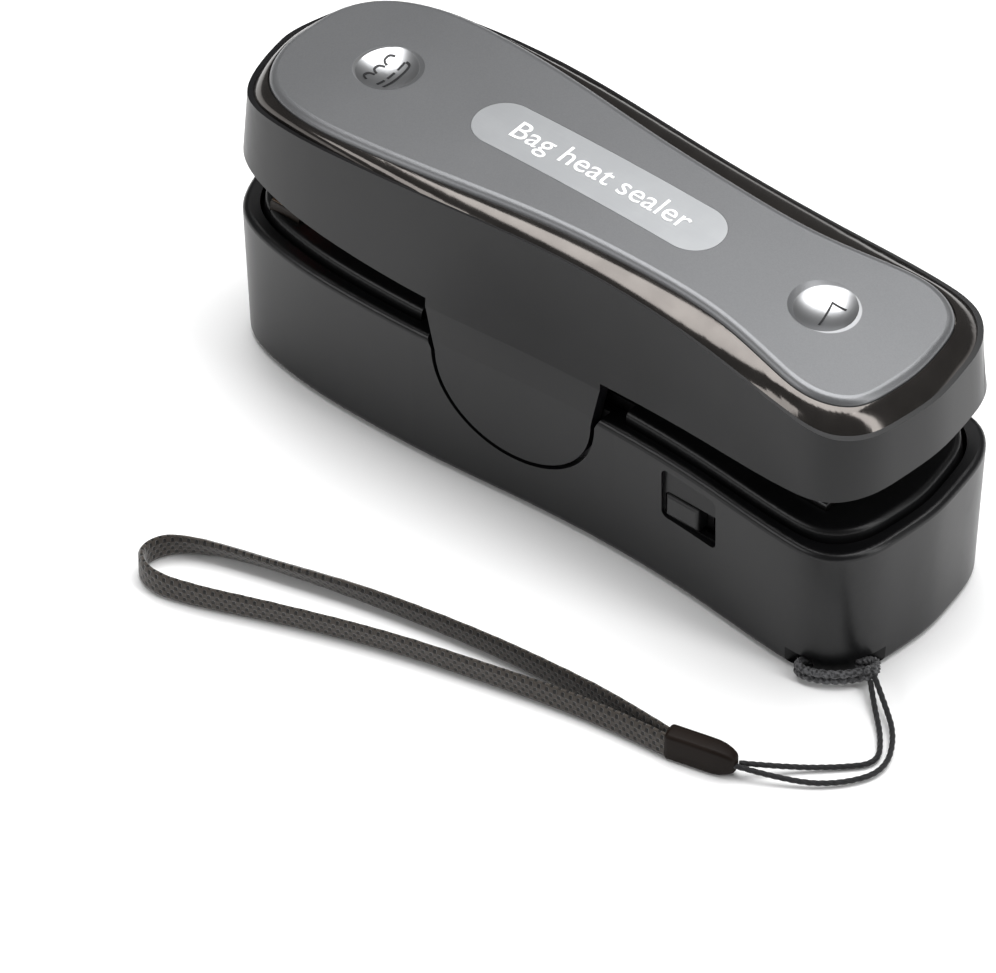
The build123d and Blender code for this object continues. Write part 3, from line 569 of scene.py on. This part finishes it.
case_black = plastic(
    "case_black", (0.0045, 0.0045, 0.005), (0.0062, 0.0061, 0.0068), 0.31, 0.000006, shine=0.30
)
deck_black = plastic(
    "deck_black", (0.0045, 0.0045, 0.0049), (0.006, 0.006, 0.0065), 0.34, 0.000006, shine=0.30
)
switch_black = plastic(
    "switch_black", (0.008, 0.008, 0.0085), (0.011, 0.011, 0.0115), 0.42, 0.000012
)
chip_black = plastic("chip_black", (0.01, 0.01, 0.01), (0.02, 0.02, 0.02), 0.5, 0.00001)
white_slider = plastic("white_slider", (0.62, 0.62, 0.60), (0.7, 0.7, 0.68), 0.42, 0.000008)
red_rubber = plastic("red_rubber", (0.32, 0.03, 0.022), (0.38, 0.045, 0.03), 0.62, 0.00002, 0.3)
phenolic_block = plastic(
    "phenolic_block", (0.012, 0.009, 0.007), (0.020, 0.014, 0.010), 0.5, 0.00001, grain=2400.0
)

# %% [markdown]
# ## Black chrome, and the satin panel
# The bezel is plastic with a thin dark metal coat. Its reflections are sharp and nearly black,
# with a warm cast, so the shader is mostly metal with a very dark base colour. The panel above it
# is grey paint with fine metal flakes. The flakes are a fine cell pattern that slightly tips the
# shading. The two thumb dimples are bare polished metal, so inside a circle round each dimple's
# centre the same shader turns brighter, smoother and fully metallic.

# %% Bezel and panel
black_chrome = Finish("black_chrome", Metallic=0.88)
handling = black_chrome.noise(240.0, 3.0)
chrome_dark, chrome_light = (0.070, 0.064, 0.060), (0.084, 0.077, 0.072)
black_chrome.drive(
    "Base Color",
    black_chrome.mix(black_chrome.fade(handling, 0.3, 0.7), chrome_dark, chrome_light),
)
black_chrome.drive("Roughness", 0.10 + handling * 0.05)
HALF_LONG = 56 * MM
EDGE_TOP, EDGE_DROP = 46.3 * MM, 5.1 * MM
BAND_RISE, BAND_RISE_MORE, CROWN_HIGH = 0.9 * MM, 1.4 * MM, 1.1 * MM
bezel_x, _, bezel_z = black_chrome.parts(black_chrome.place())
towards_end = (bezel_x / HALF_LONG) * (bezel_x / HALF_LONG)
outer_edge = EDGE_TOP - towards_end * EDGE_DROP
edge_rise = BAND_RISE + towards_end * BAND_RISE_MORE
up_the_band = (bezel_z - outer_edge) / edge_rise
crowned = up_the_band * (1 - up_the_band)
black_chrome.bump(crowned, CROWN_HIGH)

DIMPLE_X, DIMPLE_RADIUS, DIMPLE_SOFT = 37.0, 4.6, 0.05
FLAKES_EACH_METRE = 7000.0

satin_panel = Finish("satin_panel", Specular_IOR_Level=0.5)
spot = satin_panel.place()
across, along, _ = satin_panel.parts(spot)
from_dimple = abs(across) - DIMPLE_X * MM
flat_spot = satin_panel.node("CombineXYZ", {}, {0: from_dimple, 1: along})
distance = satin_panel.length(flat_spot)
bare = satin_panel.fade(
    distance, (DIMPLE_RADIUS - DIMPLE_SOFT) * MM, (DIMPLE_RADIUS - 5 * DIMPLE_SOFT) * MM
)
flakes = satin_panel.node(
    "TexVoronoi", {"feature": "F1"}, {"Vector": spot, "Scale": FLAKES_EACH_METRE}, output="Color"
)
flake_tint = satin_panel.parts(flakes)[0]
cloud = satin_panel.noise(60.0, 2.0)
grey_dark, grey_light = (0.142, 0.145, 0.150), (0.170, 0.173, 0.178)
bare_metal = (0.44, 0.445, 0.455)
paint = satin_panel.mix(flake_tint * 0.5 + cloud * 0.5, grey_dark, grey_light)
satin_panel.drive("Base Color", satin_panel.mix(bare, paint, bare_metal))
satin_panel.drive("Metallic", 0.55 + bare * 0.45)
satin_panel.drive("Roughness", 0.36 + cloud * 0.04 - bare * 0.08)
satin_panel.bump(flake_tint * (1 - bare), 0.000002)

# %% [markdown]
# ## Brushed, plated and plain metals
# Brushing leaves fine lines that all run one way. Noise that is stretched a hundred times along
# the brush line and squeezed across it gives those lines, and it drives both roughness and bump.
# Plated and turned parts use the same recipe with a rounder noise.


# %% Metals
def metal(name, colour, worn, roughness, stretch=(1, 1, 1), scale=1500.0, depth=0.000004):
    finish = Finish(name, Metallic=1.0)
    lines = finish.noise(scale, 3.0, finish.stretch(finish.place(), stretch))
    wear = finish.noise(220.0, 4.0)
    finish.drive("Base Color", finish.mix(finish.fade(wear, 0.4, 0.7), colour, worn))
    finish.drive("Roughness", roughness - 0.05 + lines * 0.1 + wear * 0.05)
    finish.bump(lines, depth)
    return finish


brushed_label = metal(
    "brushed_label", (0.34, 0.348, 0.357), (0.355, 0.363, 0.372), 0.46,
    stretch=(0.02, 1, 1), scale=6000.0, depth=0.000003,
)
plated_steel = metal("plated_steel", (0.55, 0.55, 0.56), (0.42, 0.42, 0.43), 0.25)
black_oxide = metal("black_oxide", (0.06, 0.06, 0.062), (0.10, 0.10, 0.10), 0.36)
blade_steel = metal(
    "blade_steel", (0.62, 0.63, 0.65), (0.5, 0.5, 0.52), 0.2, (1, 0.04, 1), 5000.0
)
spring_steel = metal("spring_steel", (0.45, 0.45, 0.47), (0.34, 0.34, 0.35), 0.3)
nickel_strip = metal(
    "nickel_strip", (0.58, 0.54, 0.48), (0.38, 0.30, 0.26), 0.34, (1, 0.05, 1), 4000.0
)
copper_tabs = metal("copper_tabs", (0.78, 0.40, 0.24), (0.52, 0.26, 0.17), 0.32)
cell_foil = metal(
    "cell_foil", (0.66, 0.67, 0.69), (0.58, 0.59, 0.61), 0.4, scale=500.0, depth=0.00004
)

# %% [markdown]
# ## Tape, circuit board and lens
# The non-stick tape is a glass cloth dipped in resin, so a fine square weave shows through it.
# Two crossed sine waves give the weave. The board is green lacquer over copper tracks, drawn by a
# coarse square noise. The lens is milky plastic that lets a little light through.

# %% Tape, board and lens
glass_tape = Finish("glass_tape", Specular_IOR_Level=0.4)
tape_x, tape_y, _ = glass_tape.parts(glass_tape.place())
TAPE_WEAVE = TURN / (0.55 * MM)
tape_weave = glass_tape.sine(tape_x * TAPE_WEAVE) * glass_tape.sine(tape_y * TAPE_WEAVE)
tape_dark, tape_light = (0.075, 0.045, 0.022), (0.12, 0.075, 0.038)
glass_tape.drive(
    "Base Color", glass_tape.mix(glass_tape.fade(tape_weave, -0.6, 0.6), tape_dark, tape_light)
)
glass_tape.drive("Roughness", 0.42 + tape_weave * 0.08)
glass_tape.bump(tape_weave, 0.00002)

green_board = Finish("green_board", Coat_Weight=0.4)
tracks = green_board.node(
    "TexVoronoi", {"distance": "CHEBYCHEV"}, {"Vector": green_board.place(), "Scale": 420.0}
)
track_mask = green_board.fade(tracks, 0.28, 0.32)
board_green, track_green = (0.01, 0.10, 0.035), (0.02, 0.17, 0.06)
green_board.drive("Base Color", green_board.mix(track_mask, board_green, track_green))
green_board.drive("Roughness", 0.38 + track_mask * 0.1)
green_board.bump(track_mask, 0.00002)

milky_lens = Finish("milky_lens", Transmission_Weight=0.35, Roughness=0.3)
lens_cloud = milky_lens.noise(1800.0, 2.0)
milky_lens.drive("Base Color", milky_lens.mix(lens_cloud, (0.55, 0.58, 0.60), (0.78, 0.80, 0.82)))
milky_lens.bump(lens_cloud, 0.000006)

# %% [markdown]
# ## Woven band and laid cords
# The band is a fine knitted weave: short ribs with a hole between each four, and each
# row set half a step on from the last. Two sine waves multiplied together make just such a
# pattern of staggered spots. One runs along the strap, which the sweep has stored in the piece's
# own UV map, and the other runs up it, which is simply its height above the table. The holes are
# painted near-black, which is painted shade in the openings. The cords are nearly black thread
# with a fine fibre bump, and their raised fibres are painted lighter, partly as fibre tone and
# partly as a painted sheen.

# %% Strap finishes
woven_brown = Finish("woven_brown", Specular_IOR_Level=0.25, Sheen_Weight=0.35, Sheen_Roughness=0.5)
band_uv = woven_brown.node("UVMap", {"uv_map": "UVMap"})
travelled_band, _, _ = woven_brown.parts(band_uv)
_, _, band_up = woven_brown.parts(woven_brown.place())
STITCH_LONG, STITCH_HIGH = 1.15 * MM, 0.78 * MM
staggered = (
    woven_brown.sine(travelled_band * (TURN / STITCH_LONG))
    * woven_brown.sine(band_up * (TURN / 2 / STITCH_HIGH))
)
holes_and_shade = woven_brown.fade(staggered, 0.08, 0.42)
fibres = woven_brown.noise(3800.0, 3.0)
thread = woven_brown.mix(fibres, (0.017, 0.013, 0.010), (0.058, 0.047, 0.037))
# The holes are painted near-black: painted shade inside the knit's openings, not a colour of the
# thread.
woven_brown.drive("Base Color", woven_brown.mix(holes_and_shade, thread, (0.004, 0.0035, 0.003)))
woven_brown.drive("Roughness", 0.72 + holes_and_shade * 0.2)
woven_brown.bump((1 - holes_and_shade) * 0.7 + fibres * 0.3, 0.00014)


def thread_finish(name, dark, light):
    """Laid thread: fine fibres that run with the cord. The raised fibres are painted lighter,
    partly fibre tone and partly a painted sheen.
    """
    finish = Finish(name, Specular_IOR_Level=0.3, Sheen_Weight=0.25, Sheen_Roughness=0.45)
    strands = finish.noise(2600.0, 4.0)
    # The lighter colour on the raised fibres is partly the fibres' own tone and partly a painted
    # sheen.
    finish.drive("Base Color", finish.mix(finish.fade(strands, 0.3, 0.7), dark, light))
    finish.drive("Roughness", 0.55 + strands * 0.3)
    finish.bump(strands, 0.00004)
    return finish


black_thread = thread_finish("black_thread", (0.003, 0.003, 0.0035), (0.013, 0.013, 0.015))
# The hitch thread's light grey end is a painted sheen on its raised fibres, on top of the fibres'
# own tone.
grey_thread = thread_finish("grey_thread", (0.010, 0.010, 0.011), (0.12, 0.12, 0.125))
clasp_brown = plastic(
    "clasp_brown", (0.0060, 0.0034, 0.0022), (0.0088, 0.0050, 0.0033), 0.5, 0.000012, shine=0.11
)

# %% [markdown]
# ## Lettering and pictograms
# The words on the plate and the two signs in the dimples are printed, so they are a few
# hundredths of a millimetre thick and follow the surface under them. They could be painted in the
# shader, but real letters stay sharp at any distance. Each is drawn flat, turned into a mesh, and
# dropped onto the surface below with rays cast straight down. The left sign is heat rising
# through a bag's edge, and the right one is the corner of a blade.

# %% Printing on a surface
PRINT_THICK, PRINT_LIFT = 0.05, 0.012
LONGEST_EDGE, RAY_START = 0.5 * MM, 0.1


def surface_below(node_name):
    """A tree that finds where a ray meets a CAD part."""
    mesh = nodes[node_name].data
    corners = [vertex.co for vertex in mesh.vertices]
    return BVHTree.FromPolygons(corners, [tuple(face.vertices) for face in mesh.polygons])


def print_on(name, flat_mesh, tree):
    """Lay a flat mesh on the surface: its own height is kept above the point below it."""
    work = bmesh.new()
    work.from_mesh(flat_mesh)
    bmesh.ops.remove_doubles(work, verts=work.verts, dist=MERGE_DISTANCE)
    long_edges = [edge for edge in work.edges if edge.calc_length() > LONGEST_EDGE]
    bmesh.ops.subdivide_edges(work, edges=long_edges, cuts=2)
    bmesh.ops.triangulate(work, faces=work.faces)
    for vertex in work.verts:
        own_height = vertex.co.z
        above = Vector((vertex.co.x, vertex.co.y, RAY_START))
        hit, _, _, _ = tree.ray_cast(above, Vector((0, 0, -1)))
        vertex.co.z = hit.z + PRINT_LIFT * MM + own_height
    work.to_mesh(flat_mesh)
    work.free()
    return finish_piece(name, flat_mesh, math.radians(30))


def flat_text(words, size, centre):
    """Words as a thin flat mesh, centred at a point in millimetres."""
    data = bpy.data.curves.new(words, "FONT")
    data.body = words
    data.size = size * MM
    data.align_x, data.align_y = "CENTER", "CENTER"
    data.extrude = PRINT_THICK / 2 * MM
    data.resolution_u = 4
    lettering = bpy.data.objects.new(words, data)
    bpy.context.scene.collection.objects.link(lettering)
    mesh = as_mesh(lettering)
    bpy.data.objects.remove(lettering)
    mesh.transform(Matrix.Translation(Vector((*centre, PRINT_THICK / 2)) * MM))
    return mesh


def flat_strokes(strokes, width, centre, lean=0.0):
    """Strokes drawn as narrow flat strips, round a centre, in millimetres."""
    curve = bpy.data.curves.new("strokes", "CURVE")
    curve.dimensions = "2D"
    curve.fill_mode = "NONE"
    for stroke in strokes:
        spline = curve.splines.new("NURBS")
        spline.points.add(len(stroke) - 1)
        for point, (x, y) in zip(spline.points, stroke):
            point.co = (x * MM, y * MM, 0, 1)
        spline.order_u = min(3, len(stroke))
        spline.use_endpoint_u = True
        spline.resolution_u = 8
    curve.dimensions = "3D"
    half_thick, half_wide = PRINT_THICK / 2, width / 2
    thin = section_of([
        (half_thick, -half_wide), (half_thick, half_wide),
        (-half_thick, half_wide), (-half_thick, -half_wide),
    ])
    curve.twist_mode = "Z_UP"
    curve.bevel_mode = "OBJECT"
    curve.bevel_object = thin
    curve.use_fill_caps = True
    for spline in curve.splines:
        for point in spline.points:
            point.tilt = TURN / 4
    drawing = bpy.data.objects.new("strokes", curve)
    bpy.context.scene.collection.objects.link(drawing)
    mesh = as_mesh(drawing)
    bpy.data.objects.remove(drawing)
    bpy.data.objects.remove(thin)
    turn = Matrix.Rotation(lean, 4, "Z")
    mesh.transform(Matrix.Translation(Vector((*centre, PRINT_THICK / 2)) * MM) @ turn)
    return mesh


# %% Words on the plate
WORDS_HIGH, WORDS_CENTRE = 4.85, (-0.5, 0.1)
plate_words = print_on(
    "plate_words", flat_text("Bag heat sealer", WORDS_HIGH, WORDS_CENTRE),
    surface_below("label_plate"),
)

# %% Signs in the dimples
panel_below = surface_below("top_panel")
ARC_GAP, HEAT_LINE, BLADE_LINE = 2.1, 0.34, 0.28
ARC = [(-0.85, -0.25), (-0.7, 0.45), (0.0, 0.62), (0.7, 0.45), (0.85, -0.25)]
heat_strokes = []
for shift in (-ARC_GAP, 0.0, ARC_GAP):
    heat_strokes.append([(x + shift, y + 1.35) for x, y in ARC])
    heat_strokes.append([(shift - 0.75, -0.65), (shift + 0.75, -0.65)])
heat_strokes.append([(-2.9, -1.75), (0.0, -1.75), (2.2, -1.75), (2.9, -1.5), (2.95, -0.8)])
heat_sign = print_on(
    "heat_sign", flat_strokes(heat_strokes, HEAT_LINE, (-DIMPLE_X + 0.2, 0), TURN / 4), panel_below
)
blade_strokes = [[(-2.5, -0.6), (2.1, 0.75)], [(2.05, 0.85), (1.95, -1.6)]]
blade_sign = print_on(
    "blade_sign", flat_strokes(blade_strokes, BLADE_LINE, (DIMPLE_X, 0), TURN / 4), panel_below
)

print_white = Finish("print_white", Specular_IOR_Level=0.4)
ink = print_white.noise(2500.0, 2.0)
print_white.drive("Base Color", print_white.mix(ink, (0.86, 0.86, 0.86), (0.95, 0.95, 0.95)))
print_white.drive("Roughness", 0.45 + ink * 0.1)
print_white.bump(ink, 0.000004)
print_black = plastic("print_black", (0.006, 0.006, 0.007), (0.012, 0.012, 0.013), 0.5, 0.000004)

# %% [markdown]
# ## Dressing every part
# Each part of the frame is given its finish here, in one list, so nothing is left bare. The
# frame's own shapes stay as they are.

# %% Dress the parts
DRESS = {
    case_black: ["base_shell", "arm_shell", "bottom_cover"],
    deck_black: ["base_deck", "pad_holder", "blade_holder", "blade_clamp"],
    switch_black: ["switch_knob", "slide_switch"],
    chip_black: ["charge_chip", "charge_light"],
    white_slider: ["seal_plunger", "cut_plunger", "press_switch"],
    red_rubber: ["silicone_pad"],
    phenolic_block: ["heater_block"],
    black_chrome: ["bezel"],
    satin_panel: ["top_panel"],
    brushed_label: ["label_plate"],
    plated_steel: ["cover_screws", "arm_screws", "pivot_pin", "usb_port"],
    black_oxide: ["cutting_anvil", "blade_screws"],
    blade_steel: ["cutter_blade"],
    nickel_strip: ["heating_strip"],
    copper_tabs: ["heater_terminals"],
    cell_foil: ["battery"],
    glass_tape: ["ptfe_tape"],
    green_board: ["circuit_board"],
    milky_lens: ["indicator_lens"],
}
dressed = set()
for finish, names in DRESS.items():
    for name in names:
        nodes[name].data.materials.clear()
        nodes[name].data.materials.append(finish.material)
        dressed.add(name)

NEW_PIECES = [
    (inner_cord, black_thread, "base"), (outer_cord, black_thread, "base"),
    (hitch, grey_thread, "base"), (strap_band, woven_brown, "base"), (crimp, clasp_brown, "base"),
    (plate_words, print_white, "arm"), (heat_sign, print_black, "arm"),
    (blade_sign, print_black, "arm"),
]
for piece, finish, body in NEW_PIECES:
    piece.data.materials.clear()
    piece.data.materials.append(finish.material)
    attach(piece, body)
for coil in coils:
    coil.data.materials.clear()
    coil.data.materials.append(spring_steel.material)
print("not dressed", sorted(set(nodes) - dressed))

# %% [markdown]
# ## Floor and light
# The scene has a plain pale ground and soft light from above. A black object shows mostly
# reflections, so the lights are placed for what the surfaces mirror: a large soft box overhead
# for the satin panel, a tall one on the right for the end walls and the bezel's corner, and a dim
# room for everything else.

# %% Floor
FLOOR_REACH, FLOOR_DROP = 2.2, 0.0001
floor_work = bmesh.new()
bmesh.ops.create_grid(floor_work, x_segments=8, y_segments=8, size=FLOOR_REACH)
floor_mesh = bpy.data.meshes.new("floor")
floor_work.to_mesh(floor_mesh)
floor_work.free()
floor = bpy.data.objects.new("floor", floor_mesh)
floor.location.z = -FLOOR_DROP
bpy.context.scene.collection.objects.link(floor)
paper = Finish("paper", Specular_IOR_Level=0.1)
paper_cloud = paper.noise(6.0)
paper.drive("Base Color", paper.mix(paper_cloud, (0.93, 0.93, 0.93), (0.96, 0.96, 0.96)))
paper.drive("Roughness", 0.9 + paper_cloud * 0.05)
floor_mesh.materials.append(paper.material)

# %% Lights
ROOM_STRENGTH = 0.17
world = bpy.data.worlds.new("room")
world.use_nodes = True
background = world.node_tree.nodes["Background"]
background.inputs["Color"].default_value = (1.0, 1.0, 1.0, 1)
background.inputs["Strength"].default_value = ROOM_STRENGTH
bpy.context.scene.world = world
bpy.context.scene.view_settings.view_transform = "Standard"


def soft_box(name, place, aim, wide, high, watts):
    """A rectangular lamp at a place, turned to face another."""
    light = bpy.data.lights.new(name, "AREA")
    light.shape = "RECTANGLE"
    light.size, light.size_y = wide, high
    light.energy = watts
    lamp = bpy.data.objects.new(name, light)
    lamp.location = place
    lamp.rotation_euler = (Vector(place) - Vector(aim)).to_track_quat("Z", "Y").to_euler()
    bpy.context.scene.collection.objects.link(lamp)


soft_box("overhead", (-0.10, 0.26, 1.17), (0, 0, 0.03), 1.2, 0.9, 21.0)
soft_box("right_wall", (0.95, 0.15, 0.62), (0.02, 0, 0.03), 0.20, 1.5, 6.5)
soft_box("front_fill", (-0.7, -1.1, 0.8), (0, 0, 0.02), 0.7, 0.5, 4.5)
